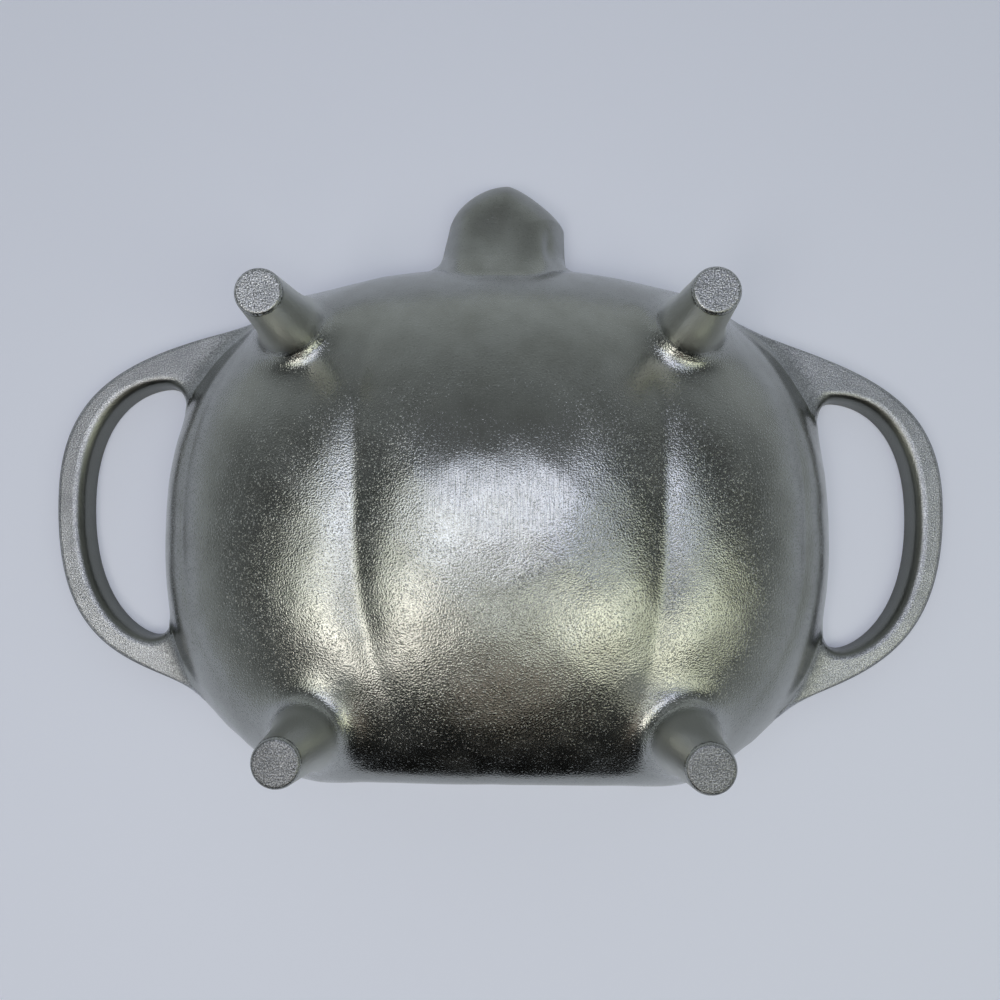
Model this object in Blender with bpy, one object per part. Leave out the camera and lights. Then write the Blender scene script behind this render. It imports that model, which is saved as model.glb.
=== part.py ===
# Pumpkin-shaped cake pan, cast in aluminium, lying on its rim with its legs up.
# Metres, +Z up. The rim plane is z = 0, the stem points to +Y and the handles to -X and +X.
# The origin is at the middle of the whole outline, on the rim plane.

import math

import bmesh
import bpy
from mathutils import Vector

# Bowl
BOWL_WIDTH = 0.2695
STEM_SIDE_LENGTH = 0.1075
BASE_SIDE_LENGTH = 0.1023
BOWL_DEPTH = 0.058
WALL = 0.004
GROUND_OFF = 0.0008

# Bowl outline: the exponents of its superellipses, how far the base side would reach without its flat wall,
# how far that wall leans in for each metre of height, and the radius that joins it to the dome
STEM_SIDE_EXPONENT = 2.4
BASE_SIDE_EXPONENT = 2.3
BASE_OVERREACH = 0.0142
BASE_LEAN = 0.24
BASE_EDGE = 0.006
PROFILE_EXPONENT = 2.1

# Creases between the lobes: the angle about the stem's axis, from straight up, in degrees, how far the crease
# bends out of it towards the stem end and the base end, its depth, and its width in degrees
CREASES = (
    (-60.5, 0, 0, 0.0014, 9.0),
    (-20.6, 0.42, -0.30, 0.0038, 5.0),
    (26.8, 0.37, 0.05, 0.0036, 5.0),
    (59.5, 0, 0, 0.0020, 8.0),
)
CREASE_BOTTOM = 1.0
CREASE_FADE = 3.0

# Stem cup: lengths run from the bowl's edge, and the profile pairs shares of the height with insets
STEM_X = 0.004
STEM_LENGTH = 0.038
STEM_HEIGHT = 0.023
STEM_TIP_HEIGHT = 0.015
STEM_TIP_SHIFT = 0.0007
STEM_PROFILE = ((0, 0), (0.35, 0.0018), (0.65, 0.0047), (0.85, 0.0086), (0.96, 0.0133), (1, 0.019))
STEM_ROOT_OVERLAP = 0.016

# Stem plan, right (+1) and left (-1): half-width at the foot, shoulder point, and the pulls at shoulder and tip
STEM_PLAN = {
    1: (0.0252, (0.0246, 0.0185), (0, 0.0040), 0.0062),
    -1: (0.0286, (0.0242, 0.0195), (-0.0014, 0.0096), 0.0110),
}

# Handles: they reach out from the bowl's sides
HANDLE_REACH = 0.0455
HANDLE_THICKNESS = 0.009
HANDLE_BAND = 0.0122
HANDLE_EDGE_RADIUS = 0.0022
HANDLE_DRAFT = 0.0006
ROOT_OVERLAP = 0.006

# Handle curves, right (+1) and left (-1), a little different as the pattern was carved by hand.
# Outer edge at the upper and the lower root: inset from the bowl's end, slope in degrees, and the pulls of the
# tangents at the root and at the middle, as shares of the run
OUTER_CURVES = {
    1: ((0.0163, -24.2, 0.58, 0.68), (0.0222, 43.8, 0.40, 0.86)),
    -1: ((0.0190, -15.8, 0.52, 0.76), (0.0257, 45.5, 0.45, 0.91)),
}

# Hand hole at its upper and its lower corner: inset from the bowl's end, distance beside the bowl, the pulls at
# the corner and at the middle, and the share of the corner's y where its curl starts
HOLE_CURVES = {
    1: ((0.0555, 0.0036, 0.36, 0.81, 0.45), (0.0545, 0.0037, 0.21, 0.80, 0.54)),
    -1: ((0.0496, 0.0023, 0.26, 0.85, 0.61), (0.0577, 0.0045, 0.16, 0.81, 0.58)),
}
HOLE_CURL_PULLS = (0.2, 0.26)

# Where the outer edge and the hand hole's edge stand furthest out, in y
OUTER_MIDDLE = {1: 0.0118, -1: 0.0148}
HOLE_MIDDLE = {1: 0.0081, -1: 0.0121}

# Legs: insets run from the bowl's sides and ends, and each pair stands a little to one side, as cast
LEG_HEIGHT = 0.076
LEG_TIP_DIAMETER = 0.0159
LEG_TIP_CHAMFER = 0.0006
LEG_DRAFT = 5.3
LEG_ROOT_OVERLAP = 0.006
UPPER_LEG_INSET = (0.06075, 0.034)
UPPER_LEG_SHIFT = -0.001
LOWER_LEG_INSET = (0.06775, 0.0263)
LOWER_LEG_SHIFT = 0.002

# Clearances
SEAT_GAP = 0.0003
BELOW_RIM = 0.004

# How finely the surfaces are divided
BOWL_SIDES = 72
BOWL_RINGS = 17
STEM_SIDES = 40
STEM_STRAIGHT_STEPS = 6
HANDLE_STEPS = 36
EDGE_STEPS = 3
LEG_SIDES = 28

BOWL_CENTRE_Y = (BASE_SIDE_LENGTH - STEM_SIDE_LENGTH - STEM_LENGTH) / 2

# Finish: one grey, rougher where the casting is left plain, and the angle past which an edge is sharp
ALUMINIUM = (0.42, 0.43, 0.42)
ROUGHNESS = {"bowl": 0.42, "stem": 0.46, "handle": 0.48, "leg": 0.44}
SHARP_ANGLE = 35.0


def clear_scene():
    for obj in list(bpy.data.objects):
        bpy.data.objects.remove(obj)


def cast_metal(name, kind):
    material = bpy.data.materials.new(name + "_cast_aluminium")
    material.use_nodes = True
    shader = material.node_tree.nodes["Principled BSDF"]
    shader.inputs["Base Color"].default_value = (*ALUMINIUM, 1.0)
    shader.inputs["Metallic"].default_value = 1.0
    shader.inputs["Roughness"].default_value = ROUGHNESS[kind]
    return material


def add_object(name, bm, parent, material=None):
    """Turns a bmesh into an object. One without a material is a cutter, which isn't rendered."""
    bmesh.ops.recalc_face_normals(bm, faces=bm.faces)
    mesh = bpy.data.meshes.new(name)
    bm.to_mesh(mesh)
    bm.free()
    obj = bpy.data.objects.new(name, mesh)
    bpy.context.scene.collection.objects.link(obj)
    obj.parent = parent
    if material:
        mesh.materials.append(material)
        mesh.shade_smooth()
        mesh.set_sharp_from_angle(angle=math.radians(SHARP_ANGLE))
    else:
        obj.hide_render = True
        obj.display_type = "WIRE"
    return obj


def cut(obj, cutter):
    boolean = obj.modifiers.new("cut_" + cutter.name, "BOOLEAN")
    boolean.operation = "DIFFERENCE"
    boolean.object = cutter


def add_rings(bm, rings):
    """Joins closed rings of points into a tube, and returns the rings of vertices."""
    made = [[bm.verts.new(point) for point in ring] for ring in rings]
    for low, high in zip(made, made[1:]):
        for i, vertex in enumerate(low):
            after = (i + 1) % len(low)
            bm.faces.new((vertex, low[after], high[after], high[i]))
    return made


def loft(rings):
    """A solid through closed rings of points, with flat ends."""
    bm = bmesh.new()
    made = add_rings(bm, rings)
    bm.faces.new(made[0])
    bm.faces.new(made[-1])
    return bm


def bezier(a, b, c, d, t):
    return a * (1 - t) ** 3 + b * 3 * t * (1 - t) ** 2 + c * 3 * t * t * (1 - t) + d * t**3


def run(a, b, c, d, steps):
    """Points along a Bezier curve, without its last one."""
    return [bezier(a, b, c, d, i / steps) for i in range(steps)]


def outline_radii(side, swell, grow):
    """Half-width, half-length and exponent of the bowl's outline on its stem side (+1) or base side (-1)."""
    half_width = BOWL_WIDTH / 2 + grow
    if side > 0:
        return half_width, STEM_SIDE_LENGTH + grow, STEM_SIDE_EXPONENT
    return half_width, BASE_SIDE_LENGTH + grow + BASE_OVERREACH * swell, BASE_SIDE_EXPONENT


def soft_minimum(value, limit, radius):
    """The smaller of two values, with a round corner where they meet."""
    mixed = max(radius - abs(value - limit), 0)
    return min(value, limit) - mixed * mixed / (4 * radius)


def base_wall(height, grow):
    """How far out the flat wall of the base side stands at this height."""
    return BASE_SIDE_LENGTH + grow - BASE_LEAN * height


def outline_point(angle, share, grow):
    """A point of the bowl's plan outline, drawn in to a share of its size."""
    across = math.cos(angle)
    along = math.sin(angle)
    half_width, half_length, power = outline_radii(along, share * share, grow)
    reach = ((abs(across) / half_width) ** power + (abs(along) / half_length) ** power) ** (-1 / power)
    return Vector((reach * across * share, reach * along * share, 0))


def rim_x(y):
    """Half-width of the bowl's outline at this y."""
    half_width, half_length, power = outline_radii(y, 1, 0)
    return half_width * (1 - (abs(y) / half_length) ** power) ** (1 / power)


def crease_depth(point, half_width, depth):
    """How far the creases draw the surface in at this point."""
    turn = math.degrees(math.atan2(point.x / half_width, point.z / depth))
    half_length = STEM_SIDE_LENGTH if point.y > 0 else BASE_SIDE_LENGTH
    along = min(abs(point.y) / half_length, 1)
    total = 0
    for angle, stem_bend, base_bend, deepest, width in CREASES:
        bend = stem_bend if point.y > 0 else base_bend
        off = math.hypot(turn - angle * (1 + bend * along**2), CREASE_BOTTOM) - CREASE_BOTTOM
        total += deepest * math.exp(-off / width)
    return total * (1 - along**2) ** CREASE_FADE


def bowl_point(angle, rise, grow):
    """A point of the dome: rise runs from 0 at the rim to 1 at the middle."""
    turn = rise * math.pi / 2
    share = math.cos(turn) ** (2 / PROFILE_EXPONENT) if rise < 1 else 0
    depth = BOWL_DEPTH + GROUND_OFF + grow
    point = outline_point(angle, share, grow)
    point.z = depth * math.sin(turn) ** (2 / PROFILE_EXPONENT)
    point.y = -soft_minimum(-point.y, base_wall(point.z, grow), BASE_EDGE)
    half_width = BOWL_WIDTH / 2 + grow
    inward = Vector((point.x / half_width**2, point.y / STEM_SIDE_LENGTH**2, point.z / depth**2))
    point -= inward.normalized() * crease_depth(point, half_width, depth)
    if rise == 0:
        point.z = 0
    point.z = min(max(point.z, 0), BOWL_DEPTH + grow)
    return point


def dome_rings(grow):
    """The dome's rings from the rim up, and its middle point."""
    angles = [2 * math.pi * i / BOWL_SIDES for i in range(BOWL_SIDES)]
    rings = [[bowl_point(angle, ring / BOWL_RINGS, grow) for angle in angles] for ring in range(BOWL_RINGS)]
    return rings, bowl_point(0, 1, grow)


def add_dome(bm, grow):
    """Adds a dome to the bmesh and returns the vertices of its rim."""
    rings, middle = dome_rings(grow)
    made = add_rings(bm, rings)
    top = bm.verts.new(middle)
    for i, vertex in enumerate(made[-1]):
        bm.faces.new((vertex, made[-1][(i + 1) % BOWL_SIDES], top))
    return made[0]


def bowl_shell():
    bm = bmesh.new()
    outer = add_dome(bm, 0)
    inner = add_dome(bm, -WALL)
    for i, vertex in enumerate(outer):
        after = (i + 1) % BOWL_SIDES
        bm.faces.new((vertex, outer[after], inner[after], inner[i]))
    return bm


def bowl_clearance():
    """The bowl as one solid, grown by the seat gap, which trims what is joined to it."""
    bm = bmesh.new()
    rim = add_dome(bm, SEAT_GAP)
    foot = [bm.verts.new((vertex.co.x, vertex.co.y, -BELOW_RIM)) for vertex in rim]
    for i, vertex in enumerate(rim):
        after = (i + 1) % BOWL_SIDES
        bm.faces.new((vertex, rim[after], foot[after], foot[i]))
    bm.faces.new(foot)
    return bm


def stem_side(side, inset):
    """The stem's plan on one side, without its tip: a straight side and a curve from the shoulder to the tip."""
    foot, (shoulder_x, shoulder_y), (pull_x, pull_y), tip_pull = STEM_PLAN[side]
    tip = Vector((side * STEM_TIP_SHIFT, STEM_LENGTH - inset, 0))
    shoulder = Vector((shoulder_x - inset, shoulder_y - inset / 2, 0))
    lean = (foot - shoulder_x) / shoulder_y
    root = Vector((foot - inset + lean * STEM_ROOT_OVERLAP, -STEM_ROOT_OVERLAP, 0))
    points = [root.lerp(shoulder, i / STEM_STRAIGHT_STEPS) for i in range(STEM_STRAIGHT_STEPS)]
    away = shoulder + Vector((pull_x, pull_y, 0)) * (STEM_LENGTH - inset) / STEM_LENGTH
    before_tip = tip + Vector((tip_pull, 0, 0))
    points += run(shoulder, away, before_tip, tip, STEM_SIDES // 2 - STEM_STRAIGHT_STEPS)
    return [Vector((side * point.x, point.y + STEM_SIDE_LENGTH, 0)) for point in points]


def stem_outline(inset):
    """The stem's plan outline, from its right root round the tip to its left root."""
    tip = Vector((STEM_TIP_SHIFT, STEM_SIDE_LENGTH + STEM_LENGTH - inset, 0))
    return stem_side(1, inset) + [tip] + stem_side(-1, inset)[::-1]


def stem_rings(shrink, foot):
    """The stem's outlines stacked from the foot up, drawn in by its draft and rounded at the top."""
    rings = []
    for rise, inset in STEM_PROFILE:
        ring = stem_outline(shrink + inset)
        for point in ring:
            along = max(point.y - STEM_SIDE_LENGTH, 0) / STEM_LENGTH
            roof = STEM_HEIGHT + (STEM_TIP_HEIGHT - STEM_HEIGHT) * along - shrink
            point.z = rise * roof if rise else foot
            point.x += STEM_X
        rings.append(ring)
    return rings


def root_point(y):
    """Where an edge of the handle starts, inside the bowl's wall."""
    return Vector((rim_x(y) - ROOT_OVERLAP, y, 0))


def slope(degrees):
    return Vector((math.cos(math.radians(degrees)), math.sin(math.radians(degrees)), 0))


def from_end(inset, end):
    """The y at this inset from the bowl's stem end (+1) or base end (-1)."""
    return STEM_SIDE_LENGTH - inset if end > 0 else inset - BASE_SIDE_LENGTH


def outer_edge(side):
    """The handle's outer edge: two nearly straight arms and a round end between them."""
    middle = Vector((BOWL_WIDTH / 2 + HANDLE_REACH, OUTER_MIDDLE[side], 0))
    halves = []
    for end, (inset, degrees, root_pull, middle_pull) in zip((1, -1), OUTER_CURVES[side]):
        root = root_point(from_end(inset, end))
        pulled = root + slope(degrees) * (middle.x - root.x) * root_pull
        depth = Vector((0, root.y - middle.y, 0))
        halves.append(run(root, pulled, middle + depth * middle_pull, middle, HANDLE_STEPS // 2))
    return halves[0] + [middle] + halves[1][::-1]


def inner_edge(side):
    """The hand hole's edge: round corners beside the bowl, and a round end."""
    middle = Vector((BOWL_WIDTH / 2 + HANDLE_REACH - HANDLE_BAND, HOLE_MIDDLE[side], 0))
    curl_steps = HANDLE_STEPS // 6
    end_steps = HANDLE_STEPS // 2 - curl_steps
    halves = []
    for end, (inset, beside, corner_pull, middle_pull, curled) in zip((1, -1), HOLE_CURVES[side]):
        corner = Vector((BOWL_WIDTH / 2 + beside, from_end(inset, end), 0))
        root = root_point(corner.y * curled)
        width = Vector((middle.x - corner.x, 0, 0))
        depth = Vector((0, corner.y - middle.y, 0))
        out, back = HOLE_CURL_PULLS
        half = run(root, root + depth * out, corner - width * back, corner, curl_steps)
        half += run(corner, corner + width * corner_pull, middle + depth * middle_pull, middle, end_steps)
        halves.append(half)
    return halves[0] + [middle] + halves[1][::-1]


def handle_rings(side):
    """Sections across the handle's band: a flat underside, drafted sides and a flat top with round edges."""
    shoulder = HANDLE_THICKNESS - HANDLE_EDGE_RADIUS
    turns = [math.pi / 2 * i / EDGE_STEPS for i in range(EDGE_STEPS + 1)]
    rings = []
    for outer, inner in zip(outer_edge(side), inner_edge(side)):
        across = (inner - outer).normalized()
        outer_side = [outer]
        inner_side = [inner]
        for turn in turns:
            inset = HANDLE_DRAFT + HANDLE_EDGE_RADIUS * (1 - math.cos(turn))
            height = Vector((0, 0, shoulder + HANDLE_EDGE_RADIUS * math.sin(turn)))
            outer_side.append(outer + across * inset + height)
            inner_side.append(inner - across * inset + height)
        ring = outer_side + inner_side[::-1]
        rings.append([Vector((point.x * side, point.y, point.z)) for point in ring])
    return rings


def leg_radius(height):
    """Radius of the drafted leg at this height, before its tip is chamfered."""
    return LEG_TIP_DIAMETER / 2 + (LEG_HEIGHT - height) * math.tan(math.radians(LEG_DRAFT))


def leg_rings(foot):
    """Circles of the turned leg, from the foot inside the dome to the ground tip."""
    profile = (
        (leg_radius(foot), foot),
        (leg_radius((foot + LEG_HEIGHT) / 2), (foot + LEG_HEIGHT) / 2),
        (leg_radius(LEG_HEIGHT), LEG_HEIGHT - LEG_TIP_CHAMFER),
        (leg_radius(LEG_HEIGHT) - LEG_TIP_CHAMFER, LEG_HEIGHT),
    )
    turns = [2 * math.pi * i / LEG_SIDES for i in range(LEG_SIDES)]
    return [[Vector((r * math.cos(t), r * math.sin(t), z)) for t in turns] for r, z in profile]


def dome_height(x, y):
    """Height of the plain dome over a point of the rim plane, or 0 outside its outline."""
    half_width, half_length, power = outline_radii(y, 1, 0)
    share = ((abs(x) / half_width) ** power + (abs(y) / half_length) ** power) ** (1 / power)
    dome = (BOWL_DEPTH + GROUND_OFF) * max(1 - share**PROFILE_EXPONENT, 0) ** (1 / PROFILE_EXPONENT)
    return min(dome, max(BASE_SIDE_LENGTH + y, 0) / BASE_LEAN)


def leg_foot(x, y):
    """Height of the leg's foot: far enough down to reach the dome all round the leg."""
    spread = leg_radius(0) / math.hypot(x, y)
    return max(dome_height(x * (1 + spread), y * (1 + spread)) - LEG_ROOT_OVERLAP, 0)


def build_pan():
    clear_scene()
    pan = bpy.data.objects.new("cake_pan", None)
    bpy.context.scene.collection.objects.link(pan)
    pan.location = (0, BOWL_CENTRE_Y, 0)

    clearance = add_object("bowl_clearance", bowl_clearance(), pan)
    hollow = add_object("stem_hollow", loft(stem_rings(WALL, -BELOW_RIM)), pan)

    bowl = add_object("bowl", bowl_shell(), pan, cast_metal("bowl", "bowl"))
    cut(bowl, hollow)

    stem = add_object("stem_cup", loft(stem_rings(0, 0)), pan, cast_metal("stem_cup", "stem"))
    cut(stem, hollow)
    cut(stem, clearance)

    for name, side in (("left_handle", -1), ("right_handle", 1)):
        handle = add_object(name, loft(handle_rings(side)), pan, cast_metal(name, "handle"))
        cut(handle, clearance)

    rows = (
        ("upper", UPPER_LEG_INSET, UPPER_LEG_SHIFT, STEM_SIDE_LENGTH, 1),
        ("lower", LOWER_LEG_INSET, LOWER_LEG_SHIFT, BASE_SIDE_LENGTH, -1),
    )
    for row, (side_inset, end_inset), shift, length, end in rows:
        for hand, side in (("left", -1), ("right", 1)):
            name = f"{row}_{hand}_leg"
            x = shift + side * (BOWL_WIDTH / 2 - side_inset)
            y = end * (length - end_inset)
            rings = leg_rings(leg_foot(x, y))
            leg = add_object(name, loft(rings), pan, cast_metal(name, "leg"))
            leg.location = (x, y, 0)
            cut(leg, clearance)


build_pan()
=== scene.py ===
import math

import bmesh
import bpy
import numpy as np
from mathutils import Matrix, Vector


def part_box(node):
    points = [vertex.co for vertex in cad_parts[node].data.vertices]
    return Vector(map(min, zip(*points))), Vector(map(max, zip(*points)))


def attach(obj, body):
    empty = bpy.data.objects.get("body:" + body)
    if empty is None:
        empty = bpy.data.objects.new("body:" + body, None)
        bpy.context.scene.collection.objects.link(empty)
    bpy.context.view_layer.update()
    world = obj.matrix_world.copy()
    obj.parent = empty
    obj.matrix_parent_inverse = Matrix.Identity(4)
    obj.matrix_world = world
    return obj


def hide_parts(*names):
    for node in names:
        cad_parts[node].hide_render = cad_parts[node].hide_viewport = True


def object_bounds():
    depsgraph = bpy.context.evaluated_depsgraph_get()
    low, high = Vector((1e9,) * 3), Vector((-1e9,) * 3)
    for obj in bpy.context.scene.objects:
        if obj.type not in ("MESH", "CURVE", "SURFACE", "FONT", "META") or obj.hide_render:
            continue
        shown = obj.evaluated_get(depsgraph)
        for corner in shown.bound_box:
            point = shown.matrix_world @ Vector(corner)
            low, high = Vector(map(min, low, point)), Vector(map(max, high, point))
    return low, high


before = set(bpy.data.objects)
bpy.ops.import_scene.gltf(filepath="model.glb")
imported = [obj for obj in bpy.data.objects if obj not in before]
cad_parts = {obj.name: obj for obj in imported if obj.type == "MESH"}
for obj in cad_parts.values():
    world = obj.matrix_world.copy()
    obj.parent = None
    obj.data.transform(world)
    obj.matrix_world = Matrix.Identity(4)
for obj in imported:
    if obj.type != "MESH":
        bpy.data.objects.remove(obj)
cadBox = [list(corner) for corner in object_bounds()]
mm = 0.001


# Small tools

def linear(hexColour):
    # sRGB hex to the linear values that a shader takes
    parts = np.array([int(hexColour[i : i + 2], 16) / 255 for i in (1, 3, 5)])
    parts = np.where(parts <= 0.04045, parts / 12.92, ((parts + 0.055) / 1.055) ** 2.4)
    return (*parts.tolist(), 1.0)


def smoothStep(value, start, end):
    # 0 before start, 1 after end, and a smooth S between them
    t = np.clip((value - start) / (end - start), 0, 1)
    return t * t * (3 - 2 * t)


def unit(vectors):
    return vectors / np.maximum(np.linalg.norm(vectors, axis=-1, keepdims=True), 1e-12)


def bezier(a, b, c, d, t):
    # cubic Bezier curve through a and d, pulled towards b and c
    t = t[:, None]
    return a * (1 - t) ** 3 + 3 * b * t * (1 - t) ** 2 + 3 * c * t * t * (1 - t) + d * t**3


def softMinimum(value, limit, radius):
    # the smaller of two values, rounded over where they differ by less than the radius
    mixed = np.maximum(radius - np.abs(value - limit), 0) / radius
    return np.minimum(value, limit) - mixed * mixed * radius / 4


def gridNormals(grid, wraps, outward):
    # cross product of the differences along the two parameters; outward is +1 or -1
    if wraps:
        across = np.roll(grid, -1, axis=1) - np.roll(grid, 1, axis=1)
    else:
        across = np.gradient(grid, axis=1)
    return unit(np.cross(across, np.gradient(grid, axis=0))) * outward


def slopeOf(gap, points, directions, step=0.2 * mm):
    # how fast a gap function grows along the directions
    return (gap(points + directions * step) - gap(points - directions * step)) / (2 * step)


def gradientOf(gap, points):
    return np.stack([slopeOf(gap, points, axis) for axis in np.eye(3)], axis=-1)


filletSink = 1.2
filletSteps = 40
gaugeStep = 0.3 * mm
halvings = 24


def filletShift(points, normals, gap, fillet):
    # Moves a skin onto the smooth union with its neighbour. A point travels s along the bisector of its own
    # normal and the neighbour's gradient, to where the smooth minimum of the two gaps is zero: min(a, b) -
    # (reach - |a - b|)^3 / (6 reach^2) = 0, a = own * s, b = apart + other * s. Past the middle of the
    # fillet, where b passes under a, the neighbour's skin takes over, so this one sinks under it, gently at
    # first, by filletSink * (b - a)^2 / reach. fillet is the reach, or a function that gives it by height.
    shift = np.zeros_like(points)
    apart = gap(points)
    radius = fillet(points[..., 2]) if callable(fillet) else np.full(apart.shape, fillet)
    near = (apart < radius) & (apart > -2 * radius)
    if not near.any():
        return shift
    apart, radius = apart[near], radius[near]
    facing = gradientOf(gap, points[near])
    heading = unit(normals[near] + unit(facing))
    own = (normals[near] * heading).sum(-1)
    other = (facing * heading).sum(-1)
    s = np.zeros_like(apart)
    for _ in range(filletSteps):
        a, b = own * s, apart + other * s
        mixed = np.maximum(radius - np.abs(a - b), 0)
        s = np.clip(s - np.minimum(a, b) + mixed**3 / (6 * radius**2), 0, 2 * radius)
    lead = apart + other * s - own * s
    s = np.maximum(s - filletSink * np.minimum(lead, 0) ** 2 / radius, 0)
    shift[near] = heading * s[:, None]
    return shift


def unevenness(points):
    # Sum of plane sine waves, height * sin(pi * (a x + b y + c z) + shift): 10 to 33 mm long and a few
    # hundredths of a millimetre high, as a sand casting has
    waves = (
        (31, 47, 22, 0.3, 0.055),
        (-58, 36, 41, 1.7, 0.04),
        (83, 71, -35, 2.9, 0.028),
        (-46, 118, 63, 0.8, 0.022),
        (152, -63, 88, 4.1, 0.016),
        (-121, -140, 52, 5.3, 0.013),
    )
    x, y, z = points[..., 0], points[..., 1], points[..., 2]
    return mm * sum(h * np.sin(math.pi * (a * x + b * y + c * z) + shift) for a, b, c, shift, h in waves)


def addPiece(name, nodes, material, rows, wraps, poles=(None, None), masks=None):
    # Grid of points to a closed mesh: quads between the rows, and a fan to each pole that is given.
    # Faces are turned round if the signed volume comes out negative.
    count, around = rows.shape[:2]
    points = rows.reshape(-1, 3)
    ends = [row for pole, row in zip(poles, (0, -1)) if pole is not None]
    index = np.arange(count * around).reshape(count, around)
    if wraps:
        index = np.concatenate([index, index[:, :1]], axis=1)
    quads = np.stack([index[:-1, :-1], index[:-1, 1:], index[1:, 1:], index[1:, :-1]], -1).reshape(-1, 4)
    fans = []
    for pole, row, turned in ((poles[0], index[0], True), (poles[1], index[-1], False)):
        if pole is None:
            continue
        tip = np.full(len(row) - 1, len(points))
        points = np.concatenate([points, np.asarray(pole)[None]])
        fan = np.stack([row[:-1], row[1:], tip], -1)
        fans.append(fan[:, ::-1] if turned else fan)
    triangles = np.concatenate([quads[:, [0, 1, 2]], quads[:, [0, 2, 3]], *fans])
    a, b, c = (points[triangles[:, corner]] for corner in range(3))
    volume = np.einsum("ij,ij->", a, np.cross(b, c))
    faces = quads.tolist() + [triangle for fan in fans for triangle in fan.tolist()]
    if volume < 0:
        faces = [face[::-1] for face in faces]
    mesh = bpy.data.meshes.new(name)
    mesh.from_pydata(points.tolist(), [], faces)
    for maskName, values in (masks or {}).items():
        values = np.concatenate([values.reshape(-1), [values[row].mean() for row in ends]])
        mesh.attributes.new(maskName, "FLOAT", "POINT").data.foreach_set("value", values.astype(np.float32))
    welded = bmesh.new()
    welded.from_mesh(mesh)
    bmesh.ops.remove_doubles(welded, verts=welded.verts, dist=0.001 * mm)
    bmesh.ops.dissolve_degenerate(welded, edges=welded.edges, dist=0.0001 * mm)
    welded.to_mesh(mesh)
    welded.free()
    mesh.shade_smooth()
    mesh.materials.append(material)
    piece = bpy.data.objects.new(name, mesh)
    bpy.context.scene.collection.objects.link(piece)
    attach(piece, "root")
    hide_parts(*nodes)
    print("made", name, "with", len(triangles), "triangles")
    return piece


# Materials

def addNode(tree, kind, inputs=None, links=None, **settings):
    # one node with its settings, its plain input values and its incoming links
    node = tree.nodes.new(kind)
    for key, value in settings.items():
        setattr(node, key, value)
    for key, value in (inputs or {}).items():
        node.inputs[key].default_value = value
    for key, socket in (links or {}).items():
        tree.links.new(socket, node.inputs[key])
    return node


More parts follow.
